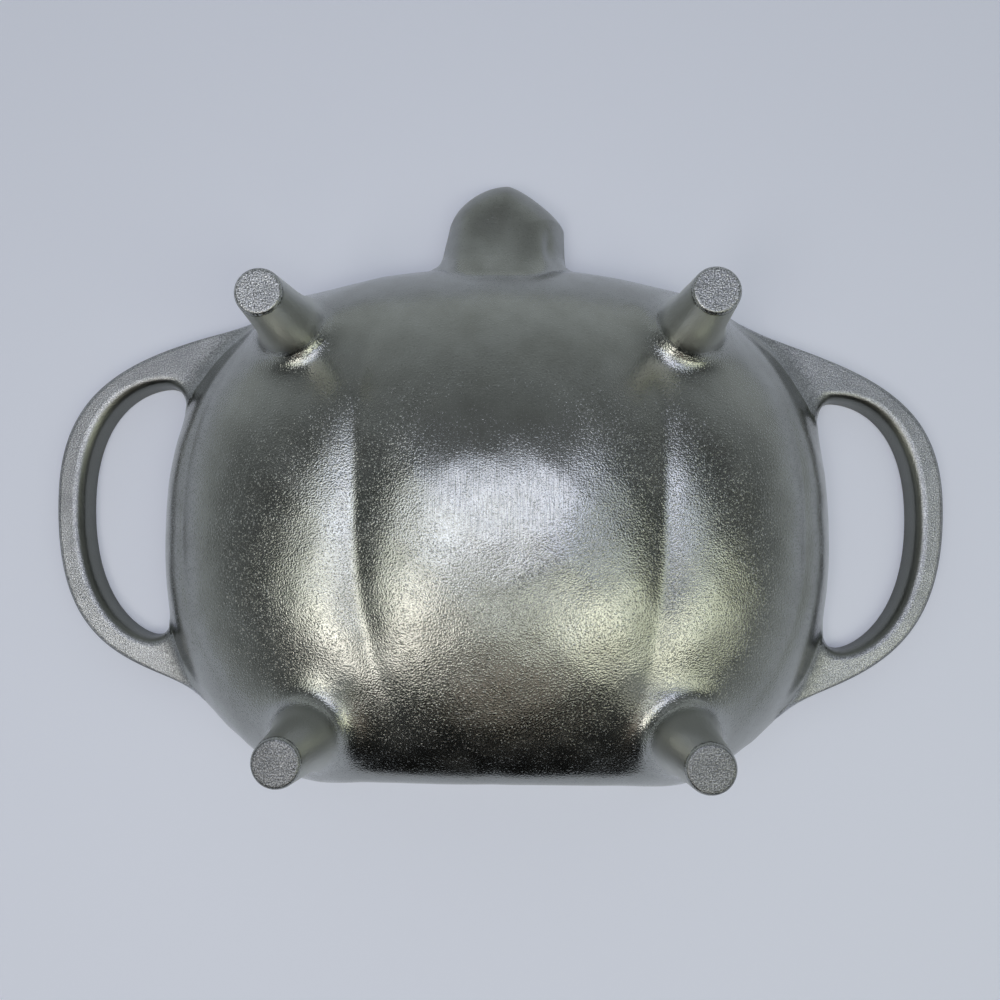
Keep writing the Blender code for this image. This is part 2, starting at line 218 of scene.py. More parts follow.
def castAluminium(name, look):
    # Bare aluminium as it comes from a sand mould and is then tumbled: the skin keeps an orange peel of soft
    # bumps under a millimetre across, which breaks every reflection into glitter, and mottled grey stains lie
    # over it. The attributes say where: grain the height of the peel, ground the flat ground faces, brushed
    # the flat on top, and the dulling mask the branches of the casting away from their roots, which are
    # duller and take the branch colour as painted shading.
    material = bpy.data.materials.new(name)
    material.use_nodes = True
    tree = material.node_tree
    shader = tree.nodes["Principled BSDF"]
    shader.inputs["Metallic"].default_value = 1.0
    place = addNode(tree, "ShaderNodeTexCoord").outputs["Object"]
    grain = addNode(tree, "ShaderNodeAttribute", attribute_name="grain").outputs["Fac"]
    ground = addNode(tree, "ShaderNodeAttribute", attribute_name="ground").outputs["Fac"]
    brushed = addNode(tree, "ShaderNodeAttribute", attribute_name="brushed").outputs["Fac"]
    dulledAndPaintedShading = addNode(tree, "ShaderNodeAttribute", attribute_name="dulledAndPaintedShading").outputs["Fac"]

    # orange peel: rounded bumps of grainSize
    peel = addNode(
        tree, "ShaderNodeTexNoise", {"Scale": 1 / look["grainSize"], "Detail": 1.0, "Roughness": 0.5},
        {"Vector": place},
    )
    speckle = addNode(
        tree, "ShaderNodeTexNoise", {"Scale": 1 / look["speckleSize"], "Detail": 2.0, "Roughness": 0.6},
        {"Vector": place},
    )
    # and now and then a bead that stands out of it
    beads = addNode(
        tree, "ShaderNodeMapRange",
        {
            "From Min": look["beadLow"], "From Max": look["beadHigh"],
            "To Max": look["beadHeight"] / look["grainHeight"],
        },
        {"Value": peel.outputs["Fac"]}, interpolation_type="SMOOTHSTEP",
    )
    beaded = addNode(
        tree, "ShaderNodeMath", None, {0: peel.outputs["Fac"], 1: beads.outputs[0]}, operation="ADD"
    )
    peelMasked = addNode(tree, "ShaderNodeMath", None, {0: beaded.outputs[0], 1: grain}, operation="MULTIPLY")
    peelBump = addNode(
        tree, "ShaderNodeBump", {"Strength": 1.0, "Distance": look["grainHeight"]},
        {"Height": peelMasked.outputs[0]},
    )

    # brush marks: scratches along Y, drawn about twice as coarse as they are, so that they show at this size
    stretch = addNode(
        tree, "ShaderNodeMapping",
        {"Scale": (1 / look["brushPitch"], 1 / look["brushLength"], 1 / look["brushLength"])},
        {"Vector": place},
    )
    marks = addNode(
        tree, "ShaderNodeTexNoise", {"Scale": 1.0, "Detail": 3.0, "Roughness": 0.7},
        {"Vector": stretch.outputs[0]},
    )
    marksMasked = addNode(
        tree, "ShaderNodeMath", None, {0: marks.outputs["Fac"], 1: brushed}, operation="MULTIPLY"
    )
    brushBump = addNode(
        tree, "ShaderNodeBump", {"Strength": 1.0, "Distance": look["brushHeight"]},
        {"Height": marksMasked.outputs[0], "Normal": peelBump.outputs[0]},
    )

    # ground faces: a dull speckle of facets, drawn a little coarser than they are
    groundMasked = addNode(
        tree, "ShaderNodeMath", None, {0: speckle.outputs["Fac"], 1: ground}, operation="MULTIPLY"
    )
    groundBump = addNode(
        tree, "ShaderNodeBump", {"Strength": 1.0, "Distance": look["groundHeight"]},
        {"Height": groundMasked.outputs[0], "Normal": brushBump.outputs[0]},
    )
    tree.links.new(groundBump.outputs[0], shader.inputs["Normal"])

    # mottled stains: patches of a centimetre or two, a little darker and warmer, and a darker grey in the
    # peel's pits
    stains = addNode(
        tree, "ShaderNodeTexNoise", {"Scale": look["stainScale"], "Detail": 4.0, "Roughness": 0.65},
        {"Vector": place},
    )
    stainRange = addNode(
        tree, "ShaderNodeMapRange",
        {"From Min": 0.35, "From Max": 0.75, "To Min": 0.0, "To Max": look["stain"]},
        {"Value": stains.outputs["Fac"]},
    )
    colour = addNode(
        tree, "ShaderNodeMix", {"A": linear(look["clean"]), "B": linear(look["stained"])},
        {"Factor": stainRange.outputs[0]}, data_type="RGBA",
    )
    pits = addNode(
        tree, "ShaderNodeMapRange",
        {"From Min": 0.38, "From Max": 0.26, "To Min": 0.0, "To Max": look["pitShare"]},
        {"Value": peel.outputs["Fac"]},
    )
    pitRange = addNode(tree, "ShaderNodeMath", None, {0: pits.outputs[0], 1: grain}, operation="MULTIPLY")
    pitted = addNode(
        tree, "ShaderNodeMix", {"B": linear(look["pit"])},
        {"Factor": pitRange.outputs[0], "A": colour.outputs["Result"]}, data_type="RGBA",
    )
    speckleRange = addNode(
        tree, "ShaderNodeMapRange", {"From Min": 0.4, "From Max": 0.6, "To Min": 0.0, "To Max": 1.0},
        {"Value": speckle.outputs["Fac"]},
    )
    mottled = addNode(
        tree, "ShaderNodeMath", None, {0: speckleRange.outputs[0], 1: stainRange.outputs[0]},
        operation="SUBTRACT", use_clamp=True,
    )
    facets = addNode(
        tree, "ShaderNodeMix", {"A": linear(look["specked"]), "B": linear(look["speck"])},
        {"Factor": mottled.outputs[0]}, data_type="RGBA",
    )
    # the branch colour is painted shading: painted shade on the stem and handles, painted light on the legs
    branchShare = addNode(tree, "ShaderNodeMath", {1: look["branchShare"]}, {0: dulledAndPaintedShading}, operation="MULTIPLY")
    branch = addNode(
        tree, "ShaderNodeMix", {"B": linear(look["branch"])},
        {"Factor": branchShare.outputs[0], "A": pitted.outputs["Result"]}, data_type="RGBA",
    )
    finished = addNode(
        tree, "ShaderNodeMix", None,
        {"Factor": ground, "A": branch.outputs["Result"], "B": facets.outputs["Result"]}, data_type="RGBA",
    )
    tree.links.new(finished.outputs["Result"], shader.inputs["Base Color"])

    # roughness: worn patches shine a little more, branches and ground faces are duller
    patchy = addNode(
        tree, "ShaderNodeTexNoise", {"Scale": look["wearScale"], "Detail": 3.0, "Roughness": 0.6},
        {"Vector": place},
    )
    rough = addNode(
        tree, "ShaderNodeMapRange",
        {
            "From Min": 0.3, "From Max": 0.7,
            "To Min": look["rough"] - look["wear"], "To Max": look["rough"] + look["wear"],
        },
        {"Value": patchy.outputs["Fac"]},
    )
    rough = addNode(
        tree, "ShaderNodeMath", {1: look["duller"]}, {0: dulledAndPaintedShading, 2: rough.outputs[0]},
        operation="MULTIPLY_ADD",
    )
    rough = addNode(
        tree, "ShaderNodeMix", {"B": look["brushRough"]}, {"Factor": brushed, "A": rough.outputs[0]},
        data_type="FLOAT",
    )
    rough = addNode(
        tree, "ShaderNodeMix", {"B": look["groundRough"]}, {"Factor": ground, "A": rough.outputs[0]},
        data_type="FLOAT",
    )
    tree.links.new(rough.outputs[0], shader.inputs["Roughness"])
    return material


metal = dict(
    # colours of the cast skin, of its stains and pits, and of the two kinds of facet on the ground faces
    clean="#a8aaa7", stained="#8a8b85", pit="#6f716c", speck="#dcdde2", specked="#85878a",
    stain=0.55, stainScale=60.0, pitShare=0.7,
    # a colour laid over a branch as painted shading (painted shade where darker, painted light where paler),
    # how much of it shows, and how much duller the branch is
    branch="#5f615c", branchShare=0, duller=0,
    rough=0.21, wear=0.05, wearScale=95.0, groundRough=0.3, brushRough=0.17,
    # peel, beads, speckle and brush marks in real sizes
    grainSize=0.64 * mm, grainHeight=0.107 * mm, beadLow=0.56, beadHigh=0.82, beadHeight=0.05 * mm,
    speckleSize=0.5 * mm, groundHeight=0.22 * mm,
    brushPitch=0.6 * mm, brushLength=25 * mm, brushHeight=0.17 * mm,
)
# bright silvery skin with the coarsest peel
bowlMetal = castAluminium("castAluminiumOrangePeel", metal)
# smoother, more stained, and greyer by a painted shade, so that it mirrors only broad light and dark
stemMetalShaded = castAluminium("castAluminiumStemShaded", {**metal, "stain": 0.7, "branchShare": 0.22, "duller": 0.15})
# satin sides darkened with painted shade under a pale speckled top
handleMetalShadedSides = castAluminium(
    "castAluminiumHandlesShadedSides",
    {**metal, "speck": "#d6d8dc", "specked": "#96989d", "branchShare": 0.75, "duller": 0.12},
)
# pale matt shafts, their paleness partly painted light, in a lit and a shaded copy: bright glittering tips
# and paler shafts as painted light on the upper legs, greyer tips and shafts as painted shade on the lower
# legs
upperLegMetalLit = castAluminium(
    "castAluminiumUpperLegsLit",
    {
        **metal, "speck": "#f6f7fa", "specked": "#86888b",
        "branch": "#cfd1cd", "branchShare": 0.8, "duller": 0.3,
    },
)
lowerLegMetalShaded = castAluminium(
    "castAluminiumLowerLegsShaded",
    {
        **metal, "speck": "#a6a8ad", "specked": "#66686c",
        "branch": "#c3c5c1", "branchShare": 0.8, "duller": 0.3,
    },
)
print("materials done")


# Bowl: the same outline and profile as the CAD bowl, on a finer grid. Lengths are in metres, and a crease
# holds its angle in degrees, its bends on the stem and the base side, its depth and its width in degrees.

bowlLow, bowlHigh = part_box("bowl")
bowl = dict(
    stemSide=0.1075, baseSide=0.1023, stemPower=2.4, basePower=2.3,
    overreach=0.0142, baseLean=0.24, baseEdge=0.006, profilePower=2.1,
    groundOff=0.0008, groundEdge=0.0006, wall=0.004,
    creases=(
        (-60.5, 0, -0.24, 0.0013, 7.0), (-20.6, 0.42, -0.30, 0.0038, 5.0),
        (26.8, 0.37, 0.05, 0.0036, 5.0), (59.5, 0, -0.20, 0.0016, 7.0),
    ),
    creaseRound=1.0, creaseFade=3.0, handleFillet=0.012, legFillet=0.0215,
    around=432, outerRings=165, innerRings=46, archRise=0.45, archSteps=150, archGap=0.0003,
    fineAround=3601, crowding=7, crowdWidth=0.02, shareRange=(0.001, 2.5),
)
# The stem's plan is two half outlines, and a flute holds its place across, its width and depth, and where
# along the stem it starts, is deepest and ends.
stem = dict(
    x=0.004, length=0.038, height=0.023, tipHeight=0.015, rootOverlap=0.016, tipShift=0.0007,
    right=dict(foot=0.0252, shoulder=(0.0246, 0.0185), shoulderPull=(0, 0.0040), tipPull=(0.0062, 0)),
    left=dict(foot=0.0286, shoulder=(0.0242, 0.0195), shoulderPull=(-0.0014, 0.0096), tipPull=(0.0110, 0)),
    flareHeight=0.0014, flareStart=0.0080, flareLength=0.0060,
    draft=0.0045, shoulderRound=0.0175, shoulderPower=3.0,
    flutes=((-0.0050, 0.0095, 0.0030, -0.008, 0.011, 0.034), (0.0178, 0.0022, 0.0013, -0.004, 0.005, 0.016)),
    rootFillet=0.0012, sideFillet=0.0105, filletTop=0.018, filletFoot=0.008, filletReach=0.015,
    rootDepth=0.002, grain=0.6,
    stations=110, across=90, profileSteps=200, edgeSteps=60, shareSteps=120, skinSteps=400,
)
halfWidth = (bowlHigh.x - bowlLow.x) / 2
domeHeight = bowlHigh.z + bowl["groundOff"]
centreY = cadBox[1][1] - bowl["stemSide"] - stem["length"]


def outlineReach(angle, share, grow):
    # superellipse radius in a direction; the base side's reach grows with share
    across, along = np.cos(angle), np.sin(angle)
    power = np.where(along > 0, bowl["stemPower"], bowl["basePower"])
    length = np.where(along > 0, bowl["stemSide"], bowl["baseSide"] + bowl["overreach"] * share**2) + grow
    reach = (np.abs(across / (halfWidth + grow)) ** power + np.abs(along / length) ** power) ** (-1 / power)
    return reach * across * share, reach * along * share


def baseWall(z, grow):
    # reach of the straight wall on the base side, which leans in from the rim
    return bowl["baseSide"] + grow - bowl["baseLean"] * z


def creaseAt(x, y, z, grow=0.0):
    # Valleys in the angle about the stem's axis, fading towards both ends. Off its middle by d each one
    # follows depth * exp(-(sqrt(d^2 + round^2) - round) / width), a V with a small radius in the bottom, and
    # its middle bends as angle * (1 + bend * along^2).
    turn = np.degrees(np.arctan2(x / (halfWidth + grow), np.maximum(z, 1e-6) / (domeHeight + grow)))
    along = np.minimum(np.abs(y) / np.where(y > 0, bowl["stemSide"], bowl["baseSide"]), 1)
    small = bowl["creaseRound"]
    total = 0
    for angle, stemBend, baseBend, depth, width in bowl["creases"]:
        off = turn - angle * (1 + np.where(y > 0, stemBend, baseBend) * along**2)
        total = total + depth * np.exp(-(np.sqrt(off**2 + small**2) - small) / width)
    return total * (1 - along**2) ** bowl["creaseFade"]


def domePoints(angle, rise, grow=0.0):
    # rise runs from 0 at the rim to 1 at the middle; the creases draw the skin in, and the top is ground flat
    angle, rise = np.broadcast_arrays(angle, rise)
    turn = rise * math.pi / 2
    share = np.cos(turn) ** (2 / bowl["profilePower"])
    height = domeHeight + grow
    x, y = outlineReach(angle, share, grow)
    z = height * np.sin(turn) ** (2 / bowl["profilePower"])
    y = -softMinimum(-y, baseWall(z, grow), bowl["baseEdge"])
    inward = unit(np.stack([x / (halfWidth + grow) ** 2, y / bowl["stemSide"] ** 2, z / height**2], -1))
    points = np.stack([x, y, z], -1) - inward * creaseAt(x, y, z, grow)[..., None]
    points[..., 2] = softMinimum(np.maximum(points[..., 2], 0), bowlHigh.z + grow, bowl["groundEdge"])
    points[..., 1] += centreY
    return points


def domeShare(x, y, grow):
    # inverse of outlineReach, by halving: the share at which the outline passes through a point
    low, high = (np.full(x.shape, end) for end in bowl["shareRange"])
    angle = np.arctan2(y, x)
    radius = np.hypot(x, y)
    for _ in range(halvings):
        middle = (low + high) / 2
        px, py = outlineReach(angle, middle, grow)
        inside = px * np.cos(angle) + py * np.sin(angle) > radius
        high = np.where(inside, middle, high)
        low = np.where(inside, low, middle)
    return (low + high) / 2


def bowlGap(points, grow=0.0):
    # distance out of the bowl's skin: a gauge that is 1 on the dome, divided by its slope, plus the creases
    def gauge(x, y, z):
        power = bowl["profilePower"]
        share = domeShare(x, y, grow)
        return (share**power + (np.maximum(z, 0) / (domeHeight + grow)) ** power) ** (1 / power) - 1

    x, y, z = points[..., 0], points[..., 1] - centreY, points[..., 2]
    middle = gauge(x, y, z)
    slope = np.sqrt(
        ((gauge(x + gaugeStep, y, z) - middle) / gaugeStep) ** 2
        + ((gauge(x, y + gaugeStep, z) - middle) / gaugeStep) ** 2
        + ((gauge(x, y, z + gaugeStep) - middle) / gaugeStep) ** 2
    )
    dome = middle / np.maximum(slope, 1e-9) + creaseAt(x, y, z, grow)
    wall = (-y - baseWall(z, grow)) / math.hypot(1, bowl["baseLean"])
    dome = -softMinimum(-dome, -wall, bowl["baseEdge"])
    return np.maximum(dome, z - bowlHigh.z - grow)


def planDistance(points, outline, closed=True):
    # signed distance in plan to a polyline, negative inside; closed adds the line from its end to its start
    a = outline
    b = np.roll(outline, -1, axis=0)
    p = points[:, None, :2]
    along = b - a
    t = np.clip(((p - a) * along).sum(-1) / np.maximum((along**2).sum(-1), 1e-18), 0, 1)
    near = np.sqrt(((p - a - along * t[..., None]) ** 2).sum(-1))
    near = near.min(1) if closed else near[:, :-1].min(1)
    rise = np.where(along[:, 1] == 0, 1e-12, along[:, 1])
    crosses = ((a[:, 1] > p[..., 1]) != (b[:, 1] > p[..., 1])) & (
        p[..., 0] < along[:, 0] * (p[..., 1] - a[:, 1]) / rise + a[:, 0]
    )
    return np.where(crosses.sum(1) % 2 == 1, -near, near)


# Stem cup: drafted sides over the plan outline, rounded into a roof that slopes down to the tip

def stemOutline(inset, steps):
    # from the right root up its straight side, round the shoulder to the tip, and down the leaning left side
    edge = centreY + bowl["stemSide"]
    tip = np.array([stem["tipShift"], stem["length"] - inset])
    sides = []
    for turned, side in ((1, stem["right"]), (-1, stem["left"])):
        foot = np.array([side["foot"] - inset, -stem["rootOverlap"]])
        shoulder = np.array([side["shoulder"][0] - inset, side["shoulder"][1] - inset / 2])
        foot[0] += (side["foot"] - side["shoulder"][0]) * stem["rootOverlap"] / side["shoulder"][1]
        away = np.array(side["shoulderPull"]) * (stem["length"] - inset) / stem["length"]
        nearTip = np.array([side["tipPull"][0] + turned * tip[0], tip[1] - side["tipPull"][1]])
        straight = foot + (shoulder - foot) * np.linspace(0, 1, steps // 3, endpoint=False)[:, None]
        end = np.array([turned * tip[0], tip[1]])
        curve = bezier(shoulder, shoulder + away, nearTip, end, np.linspace(0, 1, steps - steps // 3))
        sides.append(np.concatenate([straight, curve]) * [turned, 1])
    return np.concatenate([sides[0], sides[1][-2::-1]]) + [stem["x"], edge]


def stemRoof(y, inset):
    # a straight fall to the tip, and a short flare, exp(-distance / flareLength), where it meets the dome
    beyond = np.clip(y - centreY - bowl["stemSide"], -stem["rootOverlap"], stem["length"])
    fall = (stem["tipHeight"] - stem["height"]) * beyond / stem["length"]
    flare = stem["flareHeight"] * np.exp(-(beyond + stem["flareStart"]) / stem["flareLength"])
    return stem["height"] + fall + flare - inset


def fluteDepth(points):
    # a flute is a Gaussian hollow across the stem that grows from the root to its deepest place and fades
    x = points[..., 0] - stem["x"]
    y = points[..., 1] - centreY - bowl["stemSide"]
    return sum(
        depth * np.exp(-(((x - at) / width) ** 2))
        * smoothStep(y, root, deepest) * smoothStep(y, end, deepest)
        for at, width, depth, root, deepest, end in stem["flutes"]
    )


def stemFillet(height):
    # wide at the foot's corners, narrow where the roof meets the dome
    low = smoothStep(height, stem["filletTop"], stem["filletFoot"])
    return stem["rootFillet"] + (stem["sideFillet"] - stem["rootFillet"]) * low


def stemProfile():
    # Section of the stem as inset against height share s: draft * s + shoulder * (1 - (1 - s^q)^(1/q))
    share = np.sin(np.linspace(0, math.pi / 2, stem["profileSteps"]))
    corner = stem["shoulderRound"] * (1 - (1 - share ** stem["shoulderPower"]) ** (1 / stem["shoulderPower"]))
    return stem["draft"] * share + corner, share


def stemShare(inset):
    # height share at an inset from the foot's outline, continued straight outside it
    insets, shares = stemProfile()
    return np.where(inset < 0, inset * shares[1] / insets[1], np.interp(inset, insets, shares))


stemEdge = {inset: stemOutline(inset, stem["edgeSteps"]) for inset in (0.0, bowl["wall"])}


def stemGap(points, inset=0.0):
    # height share less the profile's share, divided by its slope
    def level(p):
        return p[:, 2] / stemRoof(p[:, 1], inset) - stemShare(-planDistance(p, stemEdge[inset], False))

    flat = points.reshape(-1, 3)
    middle = level(flat)
    slope = np.sqrt(sum(((level(flat + gaugeStep * axis) - middle) / gaugeStep) ** 2 for axis in np.eye(3)))
    return (middle / np.maximum(slope, 1e-9)).reshape(points.shape[:-1])


# Handles: outer and inner edges in plan, as the CAD handles have them

handle = dict(
    reach=0.0455, thick=0.009, band=0.0122, outerRadius=0.0022, innerRadius=0.0044, draft=0.0006,
    rootOverlap=0.006, rootDepth=0.002, curlPulls=(0.2, 0.26), grain=0.5, groundEdge=(0.0006, 0.0001),
    planSteps=70, stations=300, topPoints=26, edgePoints=6, sidePoints=8, underPoints=5,
)
# Each side of the pattern was shaped by hand and differs a little. outer: the root's y, its slope in degrees
# and the two pulls of its curve. hole: the end's y, the corner's place beside the bowl, the two pulls, and
# the share of that y at which the curl meets the bowl.
handleSides = {
    -1: dict(
        outer=((0.0885, -15.8, 0.52, 0.76), (-0.0766, 45.5, 0.45, 0.91)), outerMiddle=0.0148,
        hole=((0.0579, 0.0023, 0.26, 0.85, 0.61), (-0.0446, 0.0045, 0.16, 0.81, 0.58)), holeMiddle=0.0121,
    ),
    1: dict(
        outer=((0.0912, -24.2, 0.58, 0.68), (-0.0801, 43.8, 0.40, 0.86)), outerMiddle=0.0118,
        hole=((0.0520, 0.0036, 0.36, 0.81, 0.45), (-0.0478, 0.0037, 0.21, 0.80, 0.54)), holeMiddle=0.0081,
    ),
}


def rimX(y):
    length = bowl["stemSide"] if y > 0 else bowl["baseSide"] + bowl["overreach"]
    power = bowl["stemPower"] if y > 0 else bowl["basePower"]
    return halfWidth * (1 - (abs(y) / length) ** power) ** (1 / power)


def handleEdges(side, steps):
    # plan of a handle as if on the right: outer and inner edge, each from the upper root to the lower one
    form = handleSides[side]
    middle = np.array([halfWidth + handle["reach"], form["outerMiddle"]])
    outer = []
    for y, degrees, rootPull, endPull in form["outer"]:
        root = np.array([rimX(y) - handle["rootOverlap"], y])
        lean = np.array([math.cos(math.radians(degrees)), math.sin(math.radians(degrees))])
        away = root + lean * (middle[0] - root[0]) * rootPull
        nearEnd = middle + [0, (y - middle[1]) * endPull]
        outer.append(bezier(root, away, nearEnd, middle, np.linspace(0, 1, steps)))
    middle = np.array([middle[0] - handle["band"], form["holeMiddle"]])
    inner = []
    for y, beside, rootPull, endPull, curled in form["hole"]:
        # the hole's corner beside the bowl curls back towards the middle
        corner = np.array([halfWidth + beside, y])
        root = np.array([rimX(y * curled) - handle["rootOverlap"], y * curled])
        span = np.array([middle[0] - corner[0], 0])
        depth = np.array([0, y - middle[1]])
        first = steps // 4
        curl = bezier(
            root, root + depth * handle["curlPulls"][0], corner - span * handle["curlPulls"][1], corner,
            np.linspace(0, 1, first + 1)[:-1],
        )
        onward = np.linspace(0, 1, steps - first)
        curve = bezier(corner, corner + span * rootPull, middle + depth * endPull, middle, onward)
        inner.append(np.concatenate([curl, curve]))
    return [np.concatenate([edge[0], edge[1][-2::-1]]) + [0, centreY] for edge in (outer, inner)]


handlePlans = {side: handleEdges(side, handle["planSteps"]) for side in handleSides}


def handleGap(points, side):
    # rounded slab over the band's outline
    flat = points.reshape(-1, 3) * [side, 1, 1]
    outer, inner = handlePlans[side]
    plan = planDistance(flat, np.concatenate([outer, inner[::-1]]))
    plan = plan + handle["draft"] * flat[:, 2] / handle["thick"]
    radius = handle["outerRadius"]
    q = np.stack([plan + radius, flat[:, 2] - handle["thick"] + radius], -1)
    gap = np.linalg.norm(np.maximum(q, 0), axis=-1) + np.minimum(q.max(-1), 0) - radius
    return gap.reshape(points.shape[:-1])


# Legs: drafted pegs at the middles of the CAD legs' tips

leg = dict(
    tipDiameter=0.0159, chamfer=0.0011, draft=5.3, sink=0.0024, halvings=22,
    grain=1.0, groundEdge=(0.0002, 0.00002), brightEdge=0.001,
    around=96, shaftRows=72, crowding=1.35, edgeRows=4, faceRows=7, probeRow=5,
)
legNames = ("upper_left_leg", "upper_right_leg", "lower_left_leg", "lower_right_leg")


def legPlace(node):
    # the leg's axis is the middle of its own tip face
    points = np.array([v.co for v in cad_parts[node].data.vertices])
    tip = points[points[:, 2] > points[:, 2].max() - 0.01 * mm]
    return (tip[:, :2].min(0) + tip[:, :2].max(0)) / 2, points[:, 2].max()


def legGap(points, middle, top):
    # distance to the drafted cone
    draft = math.radians(leg["draft"])
    radius = np.hypot(points[..., 0] - middle[0], points[..., 1] - middle[1])
    return (radius - leg["tipDiameter"] / 2 - (top - points[..., 2]) * math.tan(draft)) * math.cos(draft)


legPlaces = {node: legPlace(node) for node in legNames}


# Build the bowl. The gaps to its neighbours are worked out only in a generous space round each of them.

nearBoxes = dict(
    stemHalf=0.045, stemStart=0.07, stemHigh=0.04, handleStart=0.06, handleHigh=0.02, legRadius=0.04, far=1.0,
)


def nearStem(points):
    x, y, z = points[..., 0] - stem["x"], points[..., 1] - centreY, points[..., 2]
    return (np.abs(x) < nearBoxes["stemHalf"]) & (y > nearBoxes["stemStart"]) & (z < nearBoxes["stemHigh"])


def nearHandle(points, side):
    return (points[..., 0] * side > nearBoxes["handleStart"]) & (points[..., 2] < nearBoxes["handleHigh"])


def nearLeg(points, middle):
    return np.hypot(points[..., 0] - middle[0], points[..., 1] - middle[1]) < nearBoxes["legRadius"]


def boxed(gap, test):
    # a gap function that is only worked out where the test says, and is far elsewhere
    def inner(points):
        result = np.full(points.shape[:-1], nearBoxes["far"])
        chosen = test(points)
        if chosen.any():
            result[chosen] = gap(points[chosen])
        return result
    return inner


bowlNeighbours = [(boxed(stemGap, nearStem), stemFillet)]
for side in (-1, 1):
    gap = boxed(lambda p, s=side: handleGap(p, s), lambda p, s=side: nearHandle(p, s))
    bowlNeighbours.append((gap, bowl["handleFillet"]))
for middle, top in legPlaces.values():
    gap = boxed(lambda p, m=middle, t=top: legGap(p, m, t), lambda p, m=middle: nearLeg(p, m))
    bowlNeighbours.append((gap, bowl["legFillet"]))


def archStart(angles, grow):
    # rise at which the bowl's wall starts over the stem's hollow: the highest point still inside the arch
    steps = np.linspace(0, bowl["archRise"], bowl["archSteps"])
    points = domePoints(angles[None, :], steps[:, None], grow)
    inside = boxed(lambda p: stemGap(p, bowl["wall"]), nearStem)(points) < bowl["archGap"]
    last = inside.shape[0] - 1 - np.argmax(inside[::-1], axis=0)
    return np.where(inside.any(0), steps[np.minimum(last + 1, len(steps) - 1)], 0.0)


def bowlColumns():
    # angles that crowd together at the arch's two feet, so that its sides stand nearly upright
    fine = np.linspace(0, 2 * math.pi, bowl["fineAround"])
    inside = np.flatnonzero(archStart(fine, 0.0) > 0)
    density = 1 + bowl["crowding"] * sum(
        np.exp(-(((fine - fine[foot]) / bowl["crowdWidth"]) ** 2)) for foot in (inside[0], inside[-1])
    )
    run = np.concatenate([[0], np.cumsum((density[1:] + density[:-1]) / 2)])
    return np.interp(np.linspace(0, run[-1], bowl["around"], endpoint=False), run, fine)


angles = bowlColumns()
outerStart = archStart(angles, 0.0)
innerStart = archStart(angles, -bowl["wall"])
rise = np.linspace(0, 1, bowl["outerRings"], endpoint=False)[:, None]
outer = domePoints(angles[None, :], outerStart + (1 - outerStart) * rise)
normals = gridNormals(outer, True, 1)
outer = outer + sum(filletShift(outer, normals, gap, radius) for gap, radius in bowlNeighbours)
outer[..., 2] = np.maximum(outer[..., 2], 0)
normals = gridNormals(outer, True, 1)
outer[1:] += (normals * unevenness(outer)[..., None])[1:]
# the base side stays inside the CAD box
outer[..., 1] = np.maximum(outer[..., 1], cadBox[0][1])
rise = np.linspace(0, 1, bowl["innerRings"], endpoint=False)[:, None]
inner = domePoints(angles[None, :], innerStart + (1 - innerStart) * rise, -bowl["wall"])
rows = np.concatenate([outer[::-1], inner])
outerPole = domePoints(np.zeros(1), np.ones(1))[0]
innerPole = domePoints(np.zeros(1), np.ones(1), -bowl["wall"])[0]


# Where the skin's finish changes, in metres from the bowl's middle; each pair is a change's start and end
finish = dict(
    fine=0.45, stemEnd=(0.075, 0.02), sides=(0.132, 0.098), rim=(0.015, 0.035),
    front=(-0.1, -0.062), frontShare=0.5, foot=(0.026, 0.014), branchStart=0.0003, branchEnd=0.007,
    patchX=0.003, patchY=0.024, patchHalf=0.0275, patchStemSide=0.022, patchBaseSide=0.030,
    patchEdge=(1.6, 0.4), patchHeight=(0.05, 0.056), patchSmooth=0.6,
)


def grainOf(points):
    # coarse peel on the lobes' middle, softer towards the stem end, the sides and the rim, softest in front,
    # and coarse again round the legs' feet
    y = points[..., 1] - centreY
    lobes = smoothStep(y, *finish["stemEnd"]) * smoothStep(np.abs(points[..., 0]), *finish["sides"])
    coarse = finish["fine"] + (1 - finish["fine"]) * lobes * smoothStep(points[..., 2], *finish["rim"])
    coarse = coarse * (finish["frontShare"] + (1 - finish["frontShare"]) * smoothStep(y, *finish["front"]))
    for place, top in legPlaces.values():
        away = np.hypot(points[..., 0] - place[0], points[..., 1] - place[1])
        coarse = np.maximum(coarse, smoothStep(away, *finish["foot"]))
    return coarse


def branchMasks(points, grain, ground, fillet):
    # a branch of the casting keeps the bowl's surface to where their skins cross, a sixth of the fillet out
    away = smoothStep(bowlGap(points), fillet / 6 + finish["branchStart"], fillet / 6 + finish["branchEnd"])
    return {
        "grain": grainOf(points) * (1 - away) + grain * away, "ground": ground,
        "brushed": np.zeros_like(away), "dulledAndPaintedShading": away,
    }


def bowlMasks(points):
    # the brushed patch has the outline |x / half|^3 + |y / side|^3 = 1 about its middle, with a soft edge
    x, y, z = points[..., 0], points[..., 1] - centreY, points[..., 2]
    across = (x - finish["patchX"]) / finish["patchHalf"]
    side = np.where(y > finish["patchY"], finish["patchStemSide"], finish["patchBaseSide"])
    along = (y - finish["patchY"]) / side
    patch = smoothStep(np.abs(across) ** 3 + np.abs(along) ** 3, *finish["patchEdge"])
    patch = patch * smoothStep(z, *finish["patchHeight"])
    return {
        "grain": grainOf(points) * (1 - finish["patchSmooth"] * patch), "ground": np.zeros_like(x),
        "brushed": patch, "dulledAndPaintedShading": np.zeros_like(x),
    }


addPiece("panBowl", ["bowl"], bowlMetal, rows, True, (outerPole, innerPole), bowlMasks(rows))


# Build the stem cup

def pushTo(points, gap, level):
    # moves points deeper than level back out along the gap's gradient, so that roots end inside the wall
    depth = gap(points)
    deep = depth < -level
    if deep.any():
        direction = unit(gradientOf(gap, points[deep]))
        points = points.copy()
        points[deep] += direction * (-level - depth[deep])[:, None]
    return points


